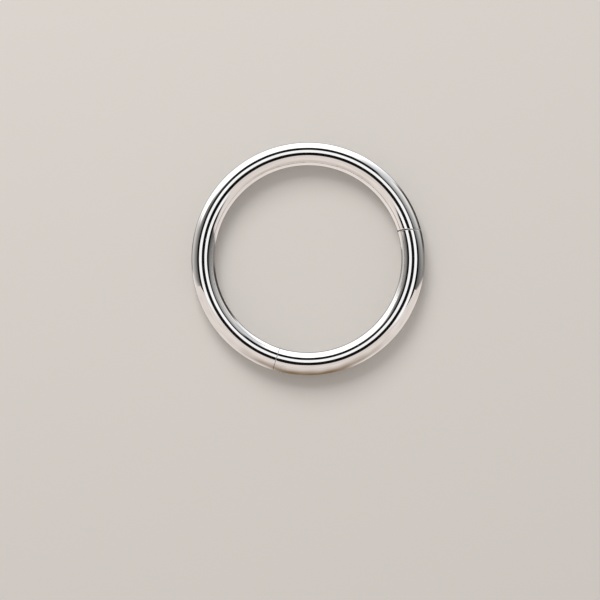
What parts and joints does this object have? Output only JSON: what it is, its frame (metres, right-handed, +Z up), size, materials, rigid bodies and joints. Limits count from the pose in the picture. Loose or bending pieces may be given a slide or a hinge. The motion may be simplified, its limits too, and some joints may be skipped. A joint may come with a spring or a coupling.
{
  "type": "hinged nose ring",
  "caption": "Plain hoop of round polished steel wire; a short arc swings open on a hinge pin and closes on a hidden tab.",
  "frame": {"origin": "on the hoop's axis, at the surface that the ring lies on", "axes": "+Z up along the hoop's axis; the hoop lies in the XY plane, with its clasp seam near +X and its hinge near -Y"},
  "size_m": [0.01, 0.01, 0.001],
  "materials": {
    "wire_steel": "mirror polished",
    "pin_steel": "polished flush with the wire"
  },
  "bodies": {
    "hoop": {"fixed_arc": "wire_steel"},
    "segment": {"hinged_segment": "wire_steel", "hinge_pin": "pin_steel"}
  },
  "joints": [
    {"name": "segment_hinge", "type": "hinge", "parent": "hoop", "child": "segment", "pos_m": [-0.00107, -0.00468, 0.0005], "axis": [0, 0, -1], "range_deg": [0, 90]}
  ]
}
